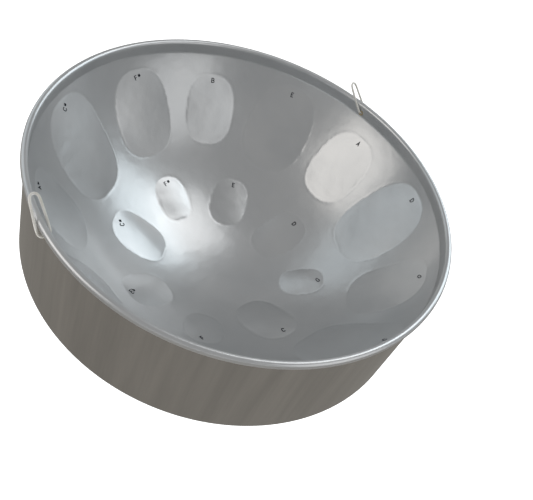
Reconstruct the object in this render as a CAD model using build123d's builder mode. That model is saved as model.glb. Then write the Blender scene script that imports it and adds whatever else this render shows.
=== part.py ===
"""Tenor steel pan: sunk and tuned head with a seamed rim, chromed skirt, hanging loops, note letters.

Millimetres, +Z up along the pan's axis. The origin is the lowest point of the bowl, on the axis.
"""

import os
from math import copysign, cos, degrees, pi, radians, sin, sqrt, tan

from build123d import *

# ---- driving dimensions -------------------------------------------------------------------
RIM_R = 290.0  # outside radius of the rolled rim
SHEET = 1.2  # thickness of the head
BOWL_SPHERE_R = 298.0  # radius of the sunk bowl's playing surface
WALL_R = 281.0  # inside radius of the countersink wall
RIM_TOP = 219.0  # height of the rim's top edge
HOOP_R = 3.0  # radius of the steel hoop inside the rim
ROLL_R = 3.9  # radius of the roll, to the middle of the sheet
ROLL_DROP = 1.8  # straight stretch of the roll's outer side
CURL_R = 3.0  # radius of the curl under the skirt's flange, to the middle of the sheet

SKIRT_R = 285.65  # outside radius of the skirt
SKIRT_SHEET = 1.0
SKIRT_BOTTOM = 64.0
FLANGE_TOP = 211.4  # top of the skirt's outward flange, just under the hoop
FLANGE_SHEET = 0.9
FLANGE_R = 287.0
HEM_HEIGHT = 8.0  # height of the folded hem at the skirt's lower edge
HEM_GAP = 0.2
HEM_BEND = 0.9  # radius of the folded edge

LOW_HALF_LENGTH = 79.0  # half the length of the low C
LOW_STEP = 2.15  # how much shorter that half gets with each semitone up
LOW_RATIO = 0.72  # width of a low note over its length
LOW_CROSS_R = 1600.0  # radius of a low note across its width: nearly flat
LOW_POLAR = 53.7  # angle from the bowl's pole to the middle of a low note, in degrees
LOW_START = -23.0  # bearing of the low C, in degrees
HIGH_HALF_LENGTH = 48.0
HIGH_STEP = 1.9
HIGH_RATIO = 0.73
HIGH_CROSS_R = 230.0  # the high notes are crowned
HIGH_EDGE_POLAR = 33.4  # angle from the pole to the outer end of a high note, in degrees
HIGH_START = -25.0

LETTER_HEIGHT = 6.6
LETTER_STROKE = 1.2
LETTER_THICK = 0.15
LETTER_LIFT = 0.1  # gap left for the adhesive
LETTER_ADVANCE = 0.95  # from one character to the next, over the letter height
LOW_LETTER_PLACE = 0.84  # where a letter sits, over half the length of its note
HIGH_LETTER_PLACE = 0.74

HOLE_Z = 204.5  # height of the hanging holes
HOLE_BEARINGS = {"left": -119.8, "right": 74.8}
LOOP_LEAN = {"left": 48.0, "right": -48.0}  # lean of each loop about its hole's outward axis
EYELET_R = 2.55
EYELET_BORE_R = 2.2
EYELET_FLANGE_R = 3.7
EYELET_FLANGE = 0.4
EYELET_GAP = 0.05
CORD_D = 3.2
CORD_JOINT_R = 285.0  # where the cord's two ends meet, inside the eyelet

NOTE_MARGIN = 6.0  # how far a note's form runs on below the bowl around its outline
FORM_DEPTH = 30.0
FORM_FLOOR = -40.0  # lower end of the bowl's form
OVERRUN = 5.0  # how far a form or a tool runs past what it trims
WALL_LAP = 0.5  # how far the wall's sheet runs down into the bowl's

# ---- worked out from them -----------------------------------------------------------------
SPHERE_Z = SHEET + BOWL_SPHERE_R  # height of the bowl sphere's centre
BOWL_EDGE_Z = SPHERE_Z - sqrt(BOWL_SPHERE_R**2 - WALL_R**2)
ROLL_Z = RIM_TOP - ROLL_R - SHEET / 2
WALL_MID_R = WALL_R + SHEET / 2
ROLL_MID_R = WALL_MID_R + ROLL_R
ROLL_OUT_R = ROLL_MID_R + ROLL_R
SEMITONES = ("C", "C#", "D", "Eb", "E", "F", "F#", "G", "Ab", "A", "Bb", "B")
FIFTHS = ("C", "G", "D", "A", "E", "B", "F#", "C#", "Ab", "Eb", "Bb", "F")
HIGH_NOTES = ("C", "G", "D", "E", "F#", "C#", "Eb", "F")

# how far each letter is turned on its note from standing with its top outward, in degrees
LETTER_TURNS = {
    "C#4": 40, "F#4": 17, "E4": 6, "G4": 127, "C4": 161, "F4": -129, "Bb4": -100, "Eb4": -69,
    "Ab4": 36, "C#5": 40, "F#5": 17, "E5": 6, "G5": 127, "C5": 161, "F5": -129, "Eb5": -69,
}

GLYPH_WIDTH = 0.6
# strokes of each character, on a grid of that width and a height of 1
GLYPHS = {
    "A": [[(0, 0), (0.3, 1), (0.6, 0)], [(0.12, 0.36), (0.48, 0.36)]],
    "B": [
        [(0, 0.53), (0, 1), (0.38, 1), (0.54, 0.88), (0.54, 0.66), (0.38, 0.53), (0, 0.53)],
        [(0, 0.53), (0, 0), (0.42, 0), (0.6, 0.13), (0.6, 0.38), (0.38, 0.53)],
    ],
    "C": [[(0.6, 0.8), (0.45, 1), (0.15, 1), (0, 0.8), (0, 0.2), (0.15, 0), (0.45, 0), (0.6, 0.2)]],
    "D": [[(0, 0.5), (0, 1), (0.35, 1), (0.6, 0.75), (0.6, 0.25), (0.35, 0), (0, 0), (0, 0.5)]],
    "E": [[(0.55, 1), (0, 1), (0, 0), (0.55, 0)], [(0, 0.52), (0.45, 0.52)]],
    "F": [[(0.55, 1), (0, 1), (0, 0)], [(0, 0.52), (0.45, 0.52)]],
    "G": [
        [(0.6, 0.8), (0.45, 1), (0.15, 1), (0, 0.8), (0, 0.2), (0.15, 0), (0.45, 0), (0.6, 0.2)],
        [(0.6, 0.2), (0.6, 0.45), (0.35, 0.45)],
    ],
    "#": [
        [(0.16, 0.3), (0.16, 0.95)], [(0.42, 0.3), (0.42, 0.95)],
        [(0, 0.5), (0.58, 0.5)], [(0, 0.75), (0.58, 0.75)],
    ],
    "b": [[(0.05, 1), (0.05, 0.3), (0.35, 0.3), (0.45, 0.45), (0.35, 0.62), (0.05, 0.62)]],
}


class Note:
    """One tuned note: an oval plate that stands out of the bowl's concave surface.

    The plate's surface has one curvature along its length, which bends the way the bowl does where
    it is above zero, and a gentle crown across its width.
    """

    def __init__(self, name, bearing, half_length, half_width, cross_r, polar):
        self.name = name
        self.bearing = bearing
        self.half_length = half_length
        self.half_width = half_width
        self.cross_r = cross_r
        a, b = radians(bearing), radians(polar)
        away = Vector(sin(b) * cos(a), sin(b) * sin(a), -cos(b))
        self.foot = Vector(0, 0, SPHERE_Z) + away * BOWL_SPHERE_R
        self.up = -away
        self.outward = Vector(cos(b) * cos(a), cos(b) * sin(a), sin(b))
        self.across = Vector(-sin(a), cos(a), 0)
        self.rise = half_width**2 / 2 * (1 / cross_r + 1 / BOWL_SPHERE_R)
        self.long_r = 1 / (1 / BOWL_SPHERE_R - 2 * self.rise / half_length**2)

    def height(self, u, v):
        """Height of the plate over the bowl's tangent plane at the note's middle."""
        ring = -self.long_r - self.cross_r + sqrt(self.cross_r**2 - v**2)
        return self.rise + self.long_r + copysign(sqrt(ring**2 - u**2), ring)

    def point(self, u, v, lift=0.0):
        return self.foot + self.outward * u + self.across * v + self.up * (self.height(u, v) + lift)


def lay_out_ring(names, octave, start, longest, step, ratio, cross_r, polar_of):
    """Spread a ring of notes so that the gaps between neighbours are all the same angle."""
    lengths = [longest - step * SEMITONES.index(name) for name in names]
    polars = [polar_of(length) for length in lengths]
    halves = [
        degrees(length * ratio / (BOWL_SPHERE_R * sin(radians(polar))))
        for length, polar in zip(lengths, polars)
    ]
    gap = (360 - 2 * sum(halves)) / len(names)
    ring, bearing = [], start
    for i, name in enumerate(names):
        if i:
            bearing += halves[i - 1] + gap + halves[i]
        ring.append(Note(f"{name}{octave}", bearing, lengths[i], lengths[i] * ratio, cross_r, polars[i]))
    return ring


def high_polar(half_length):
    """Angle from the pole to the middle of a high note, whose outer ends all lie on one circle."""
    return HIGH_EDGE_POLAR - degrees(half_length / BOWL_SPHERE_R)


LOW_RING = lay_out_ring(
    FIFTHS, 4, LOW_START, LOW_HALF_LENGTH, LOW_STEP, LOW_RATIO, LOW_CROSS_R, lambda half_length: LOW_POLAR
)
HIGH_RING = lay_out_ring(
    HIGH_NOTES, 5, HIGH_START, HIGH_HALF_LENGTH, HIGH_STEP, HIGH_RATIO, HIGH_CROSS_R, high_polar
)
NOTES = LOW_RING + HIGH_RING


def note_form(note, inset):
    """A block whose top is the note's plate, or the same plate set back by inset, made as a short
    piece of a ring that turns about an axis far above or below the note."""
    top, cross_r = -note.long_r - inset, note.cross_r - inset
    half_angle = degrees((note.half_length + NOTE_MARGIN) / abs(note.long_r))
    centre = note.foot + note.up * (note.rise + note.long_r)
    axis = Axis(centre, note.across)
    half = note.half_width + NOTE_MARGIN
    edge = top - cross_r + sqrt(cross_r**2 - half**2)
    with BuildPart() as form:
        first_way = note.outward.rotate(axis, -half_angle)
        start = Plane(origin=centre, x_dir=note.across, z_dir=first_way)
        side = copysign(1, start.y_dir.dot(note.up))
        with BuildSketch(start):
            with BuildLine():
                ThreePointArc((-half, side * edge), (0, side * top), (half, side * edge))
                Polyline(
                    (half, side * edge),
                    (half, side * (top - FORM_DEPTH)),
                    (-half, side * (top - FORM_DEPTH)),
                    (-half, side * edge),
                )
            make_face()
        revolve(axis=axis, revolution_arc=2 * half_angle)
    return form.part


def bowl_form(inset, outer_r, floor_z):
    """Everything under the bowl's surface, or under that surface set back by inset."""
    sphere_r = BOWL_SPHERE_R + inset
    edge_z = SPHERE_Z - sqrt(sphere_r**2 - outer_r**2)
    bend_r, bend_z = sphere_r * sin(pi / 6), SPHERE_Z - sphere_r * cos(pi / 6)
    with BuildPart() as form:
        with BuildSketch(Plane.XZ):
            with BuildLine():
                ThreePointArc((0, SPHERE_Z - sphere_r), (bend_r, bend_z), (outer_r, edge_z))
                Polyline((outer_r, edge_z), (outer_r, floor_z), (0, floor_z), (0, SPHERE_Z - sphere_r))
            make_face()
        revolve(axis=Axis.Z)
    return form.part


def outward_axis(bearing):
    """The hanging hole's axis, from the pan's axis outward."""
    return Vector(cos(radians(bearing)), sin(radians(bearing)), 0)


def hole_tool(bearing):
    """A cylinder along a hanging hole's axis, through the wall and the skirt."""
    way = outward_axis(bearing)
    with BuildPart() as tool:
        with BuildSketch(Plane(origin=way * (WALL_R - OVERRUN) + Vector(0, 0, HOLE_Z), z_dir=way)):
            Circle(EYELET_R + EYELET_GAP)
        extrude(amount=SKIRT_R - WALL_R + 2 * OVERRUN)
    return tool.part


def finish(part, label):
    part.label = label
    export_step(part, f"parts/{label}.step")


os.makedirs("parts", exist_ok=True)
HOLE_TOOLS = [hole_tool(bearing) for bearing in HOLE_BEARINGS.values()]

# ---- head: one sheet, sunk, tuned and rolled over the hoop --------------------------------
with BuildPart() as playing_head:
    add(bowl_form(0, WALL_R + OVERRUN, FORM_FLOOR))
    add([note_form(note, 0) for note in NOTES])
    Cylinder(WALL_MID_R, 2 * (RIM_TOP + OVERRUN), mode=Mode.INTERSECT)
    add(bowl_form(SHEET, WALL_MID_R + OVERRUN, FORM_FLOOR - OVERRUN), mode=Mode.SUBTRACT)
    add([note_form(note, SHEET) for note in NOTES], mode=Mode.SUBTRACT)
    with BuildSketch(Plane.XZ):
        with BuildLine() as rim_line:
            Line((WALL_MID_R, BOWL_EDGE_Z - WALL_LAP), (WALL_MID_R, ROLL_Z))
            ThreePointArc((WALL_MID_R, ROLL_Z), (ROLL_MID_R, ROLL_Z + ROLL_R), (ROLL_OUT_R, ROLL_Z))
            Line((ROLL_OUT_R, ROLL_Z), (ROLL_OUT_R, ROLL_Z - ROLL_DROP))
            RadiusArc(
                (ROLL_OUT_R, ROLL_Z - ROLL_DROP), (ROLL_OUT_R - CURL_R, ROLL_Z - ROLL_DROP - CURL_R), CURL_R
            )
        trace(line_width=SHEET)
    revolve(axis=Axis.Z)
    add(HOLE_TOOLS, mode=Mode.SUBTRACT)
finish(playing_head.part, "playing_head")

# ---- hoop inside the rim ------------------------------------------------------------------
with BuildPart() as rim_hoop:
    with BuildSketch(Plane.XZ):
        with Locations((ROLL_MID_R, ROLL_Z)):
            Circle(HOOP_R)
    revolve(axis=Axis.Z)
finish(rim_hoop.part, "rim_hoop")

# ---- skirt --------------------------------------------------------------------------------
SKIRT_IN_R = SKIRT_R - SKIRT_SHEET
HEM_OUT_R = SKIRT_IN_R - HEM_GAP
HEM_IN_R = HEM_OUT_R - SKIRT_SHEET
with BuildPart() as skirt:
    with BuildSketch(Plane.XZ) as skirt_profile:
        with BuildLine():
            Polyline(
                (SKIRT_IN_R, FLANGE_TOP),
                (FLANGE_R, FLANGE_TOP),
                (FLANGE_R, FLANGE_TOP - FLANGE_SHEET),
                (SKIRT_R, FLANGE_TOP - FLANGE_SHEET),
                (SKIRT_R, SKIRT_BOTTOM),
                (HEM_IN_R, SKIRT_BOTTOM),
                (HEM_IN_R, SKIRT_BOTTOM + HEM_HEIGHT),
                (HEM_OUT_R, SKIRT_BOTTOM + HEM_HEIGHT),
                (HEM_OUT_R, SKIRT_BOTTOM + SKIRT_SHEET),
                (SKIRT_IN_R, SKIRT_BOTTOM + SKIRT_SHEET),
                close=True,
            )
        make_face()
        fillet(skirt_profile.vertices().group_by(Axis.Y)[0], HEM_BEND)
    revolve(axis=Axis.Z)
    add(HOLE_TOOLS, mode=Mode.SUBTRACT)
finish(skirt.part, "skirt")

# ---- eyelets through the wall and the skirt -----------------------------------------------
for side, bearing in HOLE_BEARINGS.items():
    way = outward_axis(bearing)
    inner_face = WALL_R - EYELET_GAP
    outer_face = SKIRT_R + EYELET_GAP
    with BuildPart() as eyelet:
        with BuildSketch(Plane(origin=(0, 0, HOLE_Z), x_dir=way, z_dir=way.cross(Vector(0, 0, 1)))):
            with BuildLine():
                Polyline(
                    (inner_face - EYELET_FLANGE, EYELET_BORE_R),
                    (outer_face + EYELET_FLANGE, EYELET_BORE_R),
                    (outer_face + EYELET_FLANGE, EYELET_FLANGE_R),
                    (outer_face, EYELET_FLANGE_R),
                    (outer_face, EYELET_R),
                    (inner_face, EYELET_R),
                    (inner_face, EYELET_FLANGE_R),
                    (inner_face - EYELET_FLANGE, EYELET_FLANGE_R),
                    close=True,
                )
            make_face()
        revolve(axis=Axis((0, 0, HOLE_Z), way))
    finish(eyelet.part, f"eyelet_{side}")

# ---- hanging loops ------------------------------------------------------------------------
# Each loop's route: distance from the pan's axis, and distance from the hole's axis.
LOOP_ROUTE = (
    (CORD_JOINT_R + 0.1, 0),
    (292.2, 0),
    (292.7, 13),
    (291.6, 30),
    (290.6, 48.6),
    (279.4, 48.6),
    (278.2, 30),
    (277.4, 13),
    (277.7, 0),
    (CORD_JOINT_R - 0.1, 0),
)


def route_radii(points):
    """The radius of each corner of a route: as large as its two runs allow."""
    radii = []
    for before, here, after in zip(points, points[1:], points[2:]):
        run_in, run_out = here - before, after - here
        turn = radians(run_in.get_angle(run_out))
        radii.append(0.45 * min(run_in.length, run_out.length) / tan(turn / 2))
    return radii


for side, bearing in HOLE_BEARINGS.items():
    way = outward_axis(bearing)
    lean = radians(LOOP_LEAN[side])
    rise = Vector(0, 0, cos(lean)) - Vector(-way.Y, way.X, 0) * sin(lean)
    points = [way * out + rise * along + Vector(0, 0, HOLE_Z) for out, along in LOOP_ROUTE]
    radii = route_radii(points)
    with BuildPart() as hang_cord:
        with BuildLine():
            route = FilletPolyline(*points, radius=radii)
        with BuildSketch(Plane(origin=points[0], z_dir=way)):
            Circle(CORD_D / 2)
        sweep(path=route)
    length = route.length
    volume = pi * CORD_D**2 / 4 * length
    print(f"hang_cord_{side}: {length:.1f} mm, volume {hang_cord.part.volume:.0f} of {volume:.0f}")
    print("  radii " + " ".join(f"{radius:.1f}" for radius in radii))
    print("  points " + " ".join(f"({p.X:.1f}, {p.Y:.1f}, {p.Z:.1f})" for p in points))
    finish(hang_cord.part, f"hang_cord_{side}")

# ---- note letters -------------------------------------------------------------------------
for note in NOTES:
    text = note.name[:-1]
    reach = note.half_length * (LOW_LETTER_PLACE if note in LOW_RING else HIGH_LETTER_PLACE)
    slope_out = (note.point(reach + 1, 0) - note.point(reach - 1, 0)).normalized()
    face_up = slope_out.cross(note.across)
    turn = radians(LETTER_TURNS.get(note.name, 0))
    top_way = slope_out * cos(turn) + note.across * sin(turn)
    base = note.point(reach, 0, LETTER_LIFT)
    letter_plane = Plane(origin=base, x_dir=top_way.cross(face_up), z_dir=face_up)
    width = LETTER_ADVANCE * (len(text) - 1) + GLYPH_WIDTH
    with BuildPart() as letter:
        for i, character in enumerate(text):
            start = i * LETTER_ADVANCE - width / 2
            for stroke in GLYPHS[character]:
                with BuildSketch(letter_plane):
                    with BuildLine():
                        Polyline(
                            *[((x + start) * LETTER_HEIGHT, (y - 0.5) * LETTER_HEIGHT) for x, y in stroke]
                        )
                    trace(line_width=LETTER_STROKE)
                extrude(amount=LETTER_THICK)
    plain = note.name.replace("#", "_sharp").replace("b", "_flat").lower()
    finish(letter.part, f"letter_{plain}")
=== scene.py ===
"""Looks of the tenor steel pan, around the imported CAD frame. Metres, +Z up along the pan's axis."""

from math import cos, degrees, pi, radians, sin

import bpy
import numpy as np
from mathutils import Matrix, Vector, noise


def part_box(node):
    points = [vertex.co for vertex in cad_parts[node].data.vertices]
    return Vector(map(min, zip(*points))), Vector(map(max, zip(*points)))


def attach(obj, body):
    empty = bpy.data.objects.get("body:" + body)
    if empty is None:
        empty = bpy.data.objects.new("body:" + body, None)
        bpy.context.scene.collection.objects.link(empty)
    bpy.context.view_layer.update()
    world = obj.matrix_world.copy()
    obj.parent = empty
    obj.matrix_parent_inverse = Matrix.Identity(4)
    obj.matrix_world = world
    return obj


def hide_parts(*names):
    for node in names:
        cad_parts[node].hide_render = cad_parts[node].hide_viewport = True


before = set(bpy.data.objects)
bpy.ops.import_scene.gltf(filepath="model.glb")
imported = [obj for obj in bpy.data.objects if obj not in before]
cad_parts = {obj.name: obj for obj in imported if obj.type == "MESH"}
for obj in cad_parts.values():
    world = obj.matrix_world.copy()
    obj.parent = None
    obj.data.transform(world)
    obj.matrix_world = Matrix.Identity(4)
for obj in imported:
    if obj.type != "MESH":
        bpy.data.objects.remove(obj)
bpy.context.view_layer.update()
MM = 0.001

# ---- sizes that the CAD model also holds ---------------------------------------------------
HEAD_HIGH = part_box("playing_head")[1]
RIM_R = HEAD_HIGH.x
RIM_TOP = HEAD_HIGH.z
SHEET = 1.2 * MM
BOWL_R = 298 * MM
SPHERE_Z = SHEET + BOWL_R
WALL_R = 281 * MM
ROLL_R = 3.9 * MM
ROLL_DROP = 1.8 * MM
CURL_R = 3.0 * MM
SKIRT_LOW, SKIRT_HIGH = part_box("skirt")
SKIRT_R = 285.65 * MM
HOLE_Z = 204.5 * MM
HOLE_BEARINGS = {"left": -119.8, "right": 74.8}
LOOP_LEAN = {"left": 48.0, "right": -48.0}
CORD_D = 3.2 * MM
CORD_JOINT_R = 285 * MM
RIM_CENTRE = Vector((0, 0, RIM_TOP))


# ---- camera --------------------------------------------------------------------------------
CAMERA_PLACE = Vector((0.4451, -2.3234, 2.0320))  # from the rim's centre, in rim radii
CAMERA_FORWARD = Vector((-0.07039, 0.68935, -0.72100))
CAMERA_ROLL = radians(25.8)
CAMERA_LENS = 45.93


def make_camera():
    """The photograph's view: from high in front, rolled so that the rim slants as it does there."""
    data = bpy.data.cameras.new("camera")
    data.sensor_width = 36
    data.lens = CAMERA_LENS
    data.clip_end = 50
    camera = bpy.data.objects.new("camera", data)
    bpy.context.scene.collection.objects.link(camera)
    turn = CAMERA_FORWARD.to_track_quat("-Z", "Y").to_matrix() @ Matrix.Rotation(CAMERA_ROLL, 3, "Z")
    place = RIM_CENTRE + RIM_R * CAMERA_PLACE
    camera.matrix_world = Matrix.Translation(place) @ turn.to_4x4()
    bpy.context.scene.camera = camera


make_camera()


# ---- materials -----------------------------------------------------------------------------
def new_material(name):
    material = bpy.data.materials.new(name)
    material.use_nodes = True
    tree = material.node_tree
    return material, tree, tree.nodes["Principled BSDF"]


def object_place(tree):
    return tree.nodes.new("ShaderNodeTexCoord").outputs["Object"]


def noise_field(tree, source, scale, detail, roughness=0.5):
    node = tree.nodes.new("ShaderNodeTexNoise")
    node.inputs["Scale"].default_value = scale
    node.inputs["Detail"].default_value = detail
    node.inputs["Roughness"].default_value = roughness
    tree.links.new(source, node.inputs["Vector"])
    return node.outputs["Fac"]


def vary_colour(tree, shader, field, first, second):
    """The base colour runs from the first to the second over the middle of the field's range."""
    ramp = tree.nodes.new("ShaderNodeValToRGB")
    tree.links.new(field, ramp.inputs["Fac"])
    for element, place, colour in zip(ramp.color_ramp.elements, (0.3, 0.7), (first, second)):
        element.position = place
        element.color = (*colour, 1)
    tree.links.new(ramp.outputs["Color"], shader.inputs["Base Color"])


def vary_roughness(tree, shader, field, least, most):
    spread = tree.nodes.new("ShaderNodeMapRange")
    spread.inputs["To Min"].default_value = least
    spread.inputs["To Max"].default_value = most
    tree.links.new(field, spread.inputs["Value"])
    tree.links.new(spread.outputs["Result"], shader.inputs["Roughness"])


def bump_from(tree, shader, field, strength, distance, under=None):
    """Bump from a field, on top of the bump under it."""
    bump = tree.nodes.new("ShaderNodeBump")
    bump.inputs["Strength"].default_value = strength
    bump.inputs["Distance"].default_value = distance
    tree.links.new(field, bump.inputs["Height"])
    if under:
        tree.links.new(under, bump.inputs["Normal"])
    tree.links.new(bump.outputs["Normal"], shader.inputs["Normal"])
    return bump.outputs["Normal"]


def silver_paint():
    """Satin silver paint under a clear coat: fine flake, faint cloudiness, shallow dents."""
    material, tree, shader = new_material("silver_paint")
    place = object_place(tree)
    shader.inputs["Metallic"].default_value = 0.75
    shader.inputs["Coat Weight"].default_value = 0.7
    shader.inputs["Coat Roughness"].default_value = 0.08
    cloud = noise_field(tree, place, 9, 3)
    vary_colour(tree, shader, cloud, (0.55, 0.565, 0.575), (0.63, 0.64, 0.645))
    patch = noise_field(tree, place, 30, 4)
    vary_roughness(tree, shader, patch, 0.26, 0.32)
    flake = noise_field(tree, place, 1400, 2, 0.7)
    fine = bump_from(tree, shader, flake, 0.25, 0.05 * MM)
    dent = noise_field(tree, place, 60, 2, 0.4)
    bump_from(tree, shader, dent, 0.5, 0.6 * MM, fine)
    return material


def chrome_plate():
    """Chrome over rolled sheet: long faint streaks along the pan's axis, and a slight waviness."""
    material, tree, shader = new_material("chrome_plate")
    place = object_place(tree)
    shader.inputs["Metallic"].default_value = 1.0
    stretch = tree.nodes.new("ShaderNodeMapping")
    stretch.inputs["Scale"].default_value = (1, 1, 0.06)
    tree.links.new(place, stretch.inputs["Vector"])
    drawn_out = stretch.outputs["Vector"]
    streak = noise_field(tree, drawn_out, 55, 5, 0.6)
    vary_colour(tree, shader, streak, (0.66, 0.655, 0.645), (0.80, 0.79, 0.775))
    vary_roughness(tree, shader, streak, 0.02, 0.06)
    wave = noise_field(tree, drawn_out, 22, 2, 0.4)
    bump_from(tree, shader, wave, 0.15, 0.4 * MM)
    return material


def braided_cord():
    """White braided cord: small cells that stand for the braid's strands, slightly soiled."""
    material, tree, shader = new_material("braided_cord")
    place = object_place(tree)
    shader.inputs["Roughness"].default_value = 0.85
    shader.inputs["Sheen Weight"].default_value = 0.3
    strands = tree.nodes.new("ShaderNodeTexVoronoi")
    strands.inputs["Scale"].default_value = 1100
    tree.links.new(place, strands.inputs["Vector"])
    soil = noise_field(tree, place, 90, 3)
    vary_colour(tree, shader, soil, (0.70, 0.68, 0.62), (0.86, 0.85, 0.81))
    bump_from(tree, shader, strands.outputs["Distance"], 0.6, 0.4 * MM)
    return material


def plain_metal(name, dark, light, roughness, scale):
    """Bare metal with a slightly uneven tone and a fine grain."""
    material, tree, shader = new_material(name)
    place = object_place(tree)
    shader.inputs["Metallic"].default_value = 1.0
    tone = noise_field(tree, place, scale, 4)
    vary_colour(tree, shader, tone, dark, light)
    vary_roughness(tree, shader, tone, roughness - 0.06, roughness + 0.06)
    grain = noise_field(tree, place, scale * 12, 2)
    bump_from(tree, shader, grain, 0.2, 0.1 * MM)
    return material


def letter_vinyl():
    """Matt navy vinyl with a fine grain."""
    material, tree, shader = new_material("letter_vinyl")
    place = object_place(tree)
    shader.inputs["Roughness"].default_value = 0.8
    shader.inputs["Specular IOR Level"].default_value = 0.05
    grain = noise_field(tree, place, 700, 2)
    vary_colour(tree, shader, grain, (0.004, 0.005, 0.012), (0.012, 0.013, 0.026))
    bump_from(tree, shader, grain, 0.15, 0.05 * MM)
    return material


PAINT = silver_paint()
CHROME = chrome_plate()
CORD = braided_cord()
BRASS = plain_metal("brass", (0.50, 0.36, 0.16), (0.72, 0.55, 0.27), roughness=0.3, scale=300)
STEEL = plain_metal("drawn_steel", (0.30, 0.30, 0.30), (0.46, 0.46, 0.45), roughness=0.4, scale=200)
VINYL = letter_vinyl()


def dress(obj, material):
    obj.data.materials.clear()
    obj.data.materials.append(material)


# ---- hanging loops -------------------------------------------------------------------------
# distance from the pan's axis and distance from the hole's axis, in millimetres
LOOP_ROUTE = (
    (CORD_JOINT_R / MM + 0.1, 0),
    (292.2, 0),
    (292.7, 13),
    (291.6, 30),
    (290.6, 48.6),
    (279.4, 48.6),
    (278.2, 30),
    (277.4, 13),
    (277.7, 0),
    (CORD_JOINT_R / MM - 0.1, 0),
)


def make_loop(side):
    bearing, lean = radians(HOLE_BEARINGS[side]), radians(LOOP_LEAN[side])
    way = Vector((cos(bearing), sin(bearing), 0))
    rise = Vector((way.y * sin(lean), -way.x * sin(lean), cos(lean)))
    points = [way * out * MM + rise * along * MM + Vector((0, 0, HOLE_Z)) for out, along in LOOP_ROUTE]
    curve = bpy.data.curves.new(f"loop_{side}", "CURVE")
    curve.dimensions = "3D"
    curve.bevel_depth = CORD_D / 2
    curve.bevel_resolution = 6
    curve.resolution_u = 16
    curve.use_fill_caps = True
    spline = curve.splines.new("NURBS")
    spline.points.add(len(points) - 1)
    for knot, point in zip(spline.points, points):
        knot.co = (*point, 1)
    spline.order_u = 3
    spline.use_endpoint_u = True
    loop = bpy.data.objects.new(f"hanging_loop_{side}", curve)
    bpy.context.scene.collection.objects.link(loop)
    dress(loop, CORD)
    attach(loop, f"{side}_loop")
    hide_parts(f"hang_cord_{side}")


for side in HOLE_BEARINGS:
    make_loop(side)


# ---- notes ---------------------------------------------------------------------------------
SEMITONES = ("C", "C#", "D", "Eb", "E", "F", "F#", "G", "Ab", "A", "Bb", "B")
FIFTHS = ("C", "G", "D", "A", "E", "B", "F#", "C#", "Ab", "Eb", "Bb", "F")
HIGH_NOTES = ("C", "G", "D", "E", "F#", "C#", "Eb", "F")


class Note:
    """One tuned note: a rounded plate that stands out of the bowl's concave surface."""

    def __init__(self, name, bearing, half_length, half_width, cross_r, polar):
        self.half_length, self.half_width = half_length, half_width
        self.hammered = HAMMERED.get(name, LIGHTLY_HAMMERED)
        a, b = radians(bearing), radians(polar)
        away = np.array((sin(b) * cos(a), sin(b) * sin(a), -cos(b)))
        self.foot = np.array((0, 0, SPHERE_Z)) + away * BOWL_R
        self.up = -away
        self.outward = np.array((cos(b) * cos(a), cos(b) * sin(a), sin(b)))
        self.across = np.array((-sin(a), cos(a), 0))
        self.rise = half_width**2 / 2 * (1 / cross_r + 1 / BOWL_R)

    def place(self, points):
        """For points on the bowl: which are near, how far along and across they are, and how far
        out of the note's middle, where 1 is its outline."""
        away = points - self.foot
        u, v = away @ self.outward, away @ self.across
        near = (np.abs(u) < self.half_length + NEAR) & (np.abs(v) < self.half_width + NEAR)
        near &= away @ self.up < 2 * NEAR
        u, v = u[near], v[near]
        reach = (np.abs(u / self.half_length) ** BOXY + np.abs(v / self.half_width) ** BOXY) ** (1 / BOXY)
        return near, u, v, np.maximum(reach, 1e-6)


def lay_out_ring(names, octave, start, longest, step, ratio, cross_r, polar_of):
    """Spread a ring of notes so that the gaps between neighbours are all the same angle."""
    lengths = [(longest - step * SEMITONES.index(name)) * MM for name in names]
    polars = [polar_of(length) for length in lengths]
    halves = [
        degrees(length * ratio / (BOWL_R * sin(radians(polar)))) for length, polar in zip(lengths, polars)
    ]
    gap = (360 - 2 * sum(halves)) / len(names)
    ring, bearing = [], start
    for i, name in enumerate(names):
        if i:
            bearing += halves[i - 1] + gap + halves[i]
        note = Note(f"{name}{octave}", bearing, lengths[i], lengths[i] * ratio, cross_r * MM, polars[i])
        ring.append(note)
    return ring


LOW_POLAR = 53.7  # angle from the bowl's pole to the middle of a low note, in degrees
HIGH_EDGE_POLAR = 33.4  # angle from the pole to the outer end of a high note, in degrees


def high_polar(half_length):
    return HIGH_EDGE_POLAR - degrees(half_length / BOWL_R)


BOXY = 2.6  # 2 is an oval outline; more is squarer
NEAR = 20 * MM  # how far past a note its effect is worked out
HAMMERED = {"A4": 1.0, "F#5": 1.0, "E5": 1.0, "B4": 0.6, "Ab4": 0.5}  # how much of HAMMER_DEPTH a note has
LIGHTLY_HAMMERED = 0.25
HAMMER_DEPTH = 0.2 * MM
HAMMER_SIZE = 19 * MM
FINE_SIZE = HAMMER_SIZE * 0.45
FINE_DEPTH = 0.3  # of the coarse marks' depth
HAMMER_COVER = 0.7  # more of it leaves less of a note unmarked
HAMMER_FADE = 5  # the marks fade out over the last fifth of the way to a note's outline
GROOVE_DEPTH = 0.3 * MM  # the line punched round a note
GROOVE_HALF = 2.4 * MM  # half its width
PLAY_CREASE = 0.15 * MM  # how softly a note's edge runs into the bowl
BACK_CREASE = 0.9 * MM

NOTES = lay_out_ring(
    FIFTHS, octave=4, start=-23.0, longest=79.0, step=2.15, ratio=0.72, cross_r=1600.0,
    polar_of=lambda half_length: LOW_POLAR,
)
NOTES += lay_out_ring(
    HIGH_NOTES, octave=5, start=-25.0, longest=48.0, step=1.9, ratio=0.73, cross_r=230.0,
    polar_of=high_polar,
)


def hammer_mark(point):
    """How deep the tuner's hammer marked a point: a smooth field in space that is never below zero."""
    coarse, fine = Vector(point) / HAMMER_SIZE, Vector(point) / FINE_SIZE
    return max(HAMMER_COVER + noise.noise(coarse) + FINE_DEPTH * noise.noise(fine), 0)


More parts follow.
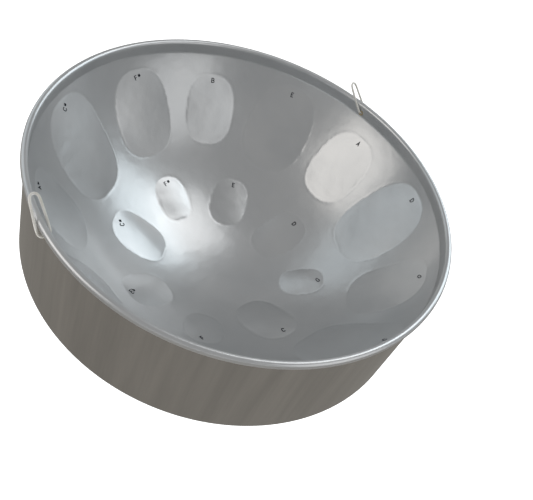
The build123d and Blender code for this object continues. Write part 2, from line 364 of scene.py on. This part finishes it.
def snap_to_notes(points, spacing):
    """Move the points that lie next to a note's outline onto it."""
    for note in NOTES:
        near, u, v, reach = note.place(points)
        close = np.abs(np.hypot(u, v) * (1 - 1 / reach)) < spacing / 2
        chosen = np.flatnonzero(near)[close]
        u, v = u[close] / reach[close], v[close] / reach[close]
        sag = BOWL_R - np.sqrt(BOWL_R**2 - u**2 - v**2)
        across = np.outer(u, note.outward) + np.outer(v, note.across)
        points[chosen] = note.foot + across + np.outer(sag, note.up)


def note_lift(points, soft, marked):
    """How far each point of the bowl is raised by the note it lies in, less the groove round it."""
    lift, groove = np.zeros(len(points)), np.zeros(len(points))
    for note in NOTES:
        near, u, v, reach = note.place(points)
        squarer = np.clip(2 * reach - 1, 0, 1) ** 2
        oval = (u / note.half_length) ** 2 + (v / note.half_width) ** 2
        gain = note.rise * (1 - squarer * reach**2 - (1 - squarer) * oval)
        blend = np.clip(0.5 + gain / (2 * soft), 0, 1)
        raised = np.maximum(gain * blend + soft * blend * (1 - blend), 0)
        if marked:
            inside = np.clip(HAMMER_FADE * (1 - reach), 0, 1)
            marks = [hammer_mark(point) if share > 0 else 0 for point, share in zip(points[near], inside)]
            raised -= HAMMER_DEPTH * note.hammered * inside * marks
            off_line = np.abs(np.hypot(u, v) * (1 - 1 / reach)) / GROOVE_HALF
            groove[near] = np.maximum(groove[near], GROOVE_DEPTH * np.clip(1 - off_line, 0, 1))
        lift[near] = np.maximum(lift[near], raised)
    return lift - groove


# ---- head ----------------------------------------------------------------------------------
ROUND = 576  # points round the head where it is widest
FEWEST = 18  # and where it is narrowest
PLAY_SPACING = 2.35 * MM
BACK_SPACING = 7 * MM
PLAY_WALL_LOW = 201.5 * MM  # lowest ring of the countersink wall above the bowl's edge, player's side
BACK_WALL_LOW = 206.5 * MM  # and on its other side


def rim_profile():
    """The rolled rim's section from the top of the bowl, over the hoop and back to the bowl."""
    half = SHEET / 2
    roll_z = RIM_TOP - ROLL_R - half
    centre = WALL_R + half + ROLL_R
    over = np.radians(np.linspace(180, 0, 13))
    under = np.radians(np.linspace(0, -90, 6))
    tip_r, tip_z = centre + ROLL_R - CURL_R, roll_z - ROLL_DROP
    line = [(WALL_R, z) for z in np.linspace(PLAY_WALL_LOW, roll_z, 6)[:-1]]
    line += [(centre + (ROLL_R + half) * cos(t), roll_z + (ROLL_R + half) * sin(t)) for t in over]
    line += [(tip_r + (CURL_R + half) * cos(t), tip_z + (CURL_R + half) * sin(t)) for t in under]
    line += [(tip_r, tip_z - CURL_R)]
    line += [(tip_r + (CURL_R - half) * cos(t), tip_z + (CURL_R - half) * sin(t)) for t in under[::-1]]
    line += [(centre + (ROLL_R - half) * cos(t), roll_z + (ROLL_R - half) * sin(t)) for t in over[::-2]]
    line.append((WALL_R + SHEET, BACK_WALL_LOW))
    return line


def mesh_object(name, vertices, faces, material, smooth=True):
    mesh = bpy.data.meshes.new(name)
    mesh.from_pydata(vertices, [], faces)
    mesh.update()
    if smooth:
        mesh.polygons.foreach_set("use_smooth", [True] * len(mesh.polygons))
    obj = bpy.data.objects.new(name, mesh)
    bpy.context.scene.collection.objects.link(obj)
    dress(obj, material)
    return obj


def circle(r, z, count):
    bearings = np.linspace(0, 2 * pi, count, endpoint=False)
    return np.column_stack([r * np.cos(bearings), r * np.sin(bearings), np.full(count, z)])


def stitch(first, second):
    """Faces between two rings of vertex numbers, of which one may have twice as many as the other."""
    faces = []
    small = min(len(first), len(second))
    for i in range(small):
        j = (i + 1) % small
        if len(first) == len(second):
            faces.append((first[i], first[j], second[j], second[i]))
        elif len(first) < len(second):
            middle = second[2 * i + 1]
            faces += [(first[i], middle, second[2 * i]), (first[i], first[j], middle)]
            faces.append((first[j], second[2 * j], middle))
        else:
            middle = first[2 * i + 1]
            faces += [(first[2 * i], middle, second[i]), (middle, second[j], second[i])]
            faces.append((middle, first[2 * j], second[j]))
    return faces


def surface(name, rings, material, closed=False, poles=None):
    """A surface through rings of points, closed on itself or with a point at each end."""
    vertices, numbers = [], []
    for ring in rings:
        numbers.append(range(len(vertices), len(vertices) + len(ring)))
        vertices += [tuple(point) for point in ring]
    faces = []
    for first, second in zip(numbers, numbers[1:]):
        faces += stitch(first, second)
    if closed:
        faces += stitch(numbers[-1], numbers[0])
    if poles:
        start, end = len(vertices), len(vertices) + 1
        vertices += poles
        for first, last in zip(numbers[0], [*numbers[0][1:], numbers[0][0]]):
            faces.append((start, last, first))
        for first, last in zip(numbers[-1], [*numbers[-1][1:], numbers[-1][0]]):
            faces.append((end, first, last))
    return mesh_object(name, vertices, faces, material)


def bowl_rings(sphere_r, top_r, spacing, most, marked):
    """Rings from the bowl's pole outward, with fewer points in the small ones."""
    centre = np.array((0, 0, SPHERE_Z))
    top_polar = np.arcsin(top_r / sphere_r)
    steps = round(sphere_r * top_polar / spacing)
    rings = []
    for polar in np.linspace(0, top_polar, steps + 1)[1:]:
        count = most
        while count > FEWEST and sphere_r * sin(polar) < RIM_R / 2 * count / most:
            count //= 2
        on_face = circle(BOWL_R * sin(polar), SPHERE_Z - BOWL_R * cos(polar), count)
        if marked:
            snap_to_notes(on_face, spacing)
        up = (centre - on_face) / BOWL_R
        height = note_lift(on_face, PLAY_CREASE if marked else BACK_CREASE, marked) + BOWL_R - sphere_r
        rings.append(on_face + up * height[:, None])
    return rings


def make_head():
    rings = bowl_rings(BOWL_R, WALL_R, PLAY_SPACING, ROUND, True)
    rings += [circle(r, z, ROUND) for r, z in rim_profile()]
    rings += bowl_rings(BOWL_R + SHEET, WALL_R + SHEET, BACK_SPACING, ROUND // 2, False)[::-1]
    head = surface("head_sheet", rings, PAINT, poles=[(0, 0, SHEET), (0, 0, 0)])
    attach(head, "pan")
    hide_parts("playing_head")


make_head()


# ---- skirt ---------------------------------------------------------------------------------
SKIRT_ROUND = 720  # points round the skirt


def make_skirt():
    """The chromed skirt: a cylinder with a flange above and a folded hem below."""
    sheet, gap, hem = 1.0 * MM, 0.2 * MM, 8 * MM
    inner, low, top = SKIRT_R - sheet, SKIRT_LOW.z, SKIRT_HIGH.z
    flange_r, flange_low = 287.0 * MM, top - 0.9 * MM
    hem_out, hem_in = inner - gap, inner - gap - sheet
    bend = 0.9 * MM
    turn = np.radians(np.linspace(0, 90, 7))
    profile = [(inner, top), (flange_r, top), (flange_r, flange_low), (SKIRT_R + 0.1 * MM, flange_low)]
    profile += [(SKIRT_R, z) for z in np.linspace(flange_low - 0.1 * MM, low + bend, 25)]
    profile += [(SKIRT_R - bend + bend * cos(t), low + bend - bend * sin(t)) for t in turn[1:]]
    profile += [(hem_in + bend - bend * sin(t), low + bend - bend * cos(t)) for t in turn]
    profile += [(hem_in, low + hem), (hem_out, low + hem), (hem_out, low + sheet), (inner, low + sheet)]
    profile += [(inner, z) for z in np.linspace(low + sheet, top, 9)[1:-1]]
    skirt = surface("skirt_sheet", [circle(r, z, SKIRT_ROUND) for r, z in profile], CHROME, closed=True)
    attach(skirt, "pan")
    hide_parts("skirt")


make_skirt()


# ---- CAD nodes that keep their shape -------------------------------------------------------
for name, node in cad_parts.items():
    if name.startswith("letter"):
        dress(node, VINYL)
    elif name.startswith("eyelet"):
        dress(node, BRASS)
    elif name == "rim_hoop":
        dress(node, STEEL)


# ---- floor and light -----------------------------------------------------------------------
FLOOR_Z = -0.62
FLOOR_SIDE = 30
DULL_SIDE = 12  # of the duller floor that only reflections see
DULL_GAP = 0.02  # between it and the floor below it
PALE, TAUPE = (0.95, 0.95, 0.95, 1), (0.16, 0.15, 0.135, 1)
COOL, PLAIN, WARM = (0.85, 0.95, 1.0), (1.0, 1.0, 1.0), (1.0, 0.95, 0.9)
WORLD_GREY = (0.35, 0.35, 0.35, 1)
LIGHT_DISTANCE = 2.2
LIGHT_CENTRE = Vector((0, 0, 0.15))  # the lights stand round this point
LIGHT_AIM = Vector((0, 0, 0.1))  # and face this one


def glowing_paint(name, colour, glow):
    material, _, shader = new_material(name)
    shader.inputs["Base Color"].default_value = colour
    shader.inputs["Roughness"].default_value = 0.9
    shader.inputs["Emission Color"].default_value = colour
    shader.inputs["Emission Strength"].default_value = glow
    return material


def level_card(name, height, side, material):
    """A flat level square with its middle on the pan's axis."""
    half = side / 2
    corners = [(-half, -half, height), (half, -half, height), (half, half, height), (-half, half, height)]
    card = mesh_object(name, corners, [(0, 1, 2, 3)], material, smooth=False)
    return card


def soft_light(name, bearing, height, side, power, colour):
    """A square light on a sphere round the pan, at a bearing and a height in degrees."""
    data = bpy.data.lights.new(name, "AREA")
    data.shape = "RECTANGLE"
    data.size, data.size_y = side, side
    data.energy = power
    data.color = colour
    light = bpy.data.objects.new(name, data)
    bpy.context.scene.collection.objects.link(light)
    a, e = radians(bearing), radians(height)
    place = LIGHT_CENTRE + LIGHT_DISTANCE * Vector((cos(e) * cos(a), cos(e) * sin(a), sin(e)))
    turn = (LIGHT_AIM - place).to_track_quat("-Z", "Y").to_matrix()
    light.matrix_world = Matrix.Translation(place) @ turn.to_4x4()
    light.visible_camera = False


level_card("floor", FLOOR_Z, FLOOR_SIDE, glowing_paint("pale_floor", PALE, 0.95))
dull_floor = level_card("dull_floor", FLOOR_Z + DULL_GAP, DULL_SIDE, glowing_paint("taupe", TAUPE, 0.7))
dull_floor.visible_camera = False
dull_floor.visible_diffuse = False
dull_floor.visible_shadow = False

soft_light("key", bearing=60, height=30, side=1.6, power=12, colour=COOL)
soft_light("top", bearing=60, height=60, side=1.2, power=6, colour=PLAIN)
soft_light("front", bearing=-140, height=25, side=1.6, power=9, colour=WARM)
soft_light("fill_right", bearing=-15, height=25, side=1.6, power=5, colour=PLAIN)
soft_light("fill_left", bearing=165, height=25, side=1.6, power=4, colour=COOL)

world = bpy.data.worlds.new("studio")
world.use_nodes = True
world.node_tree.nodes["Background"].inputs["Color"].default_value = WORLD_GREY
bpy.context.scene.world = world
bpy.context.scene.view_settings.view_transform = "Standard"
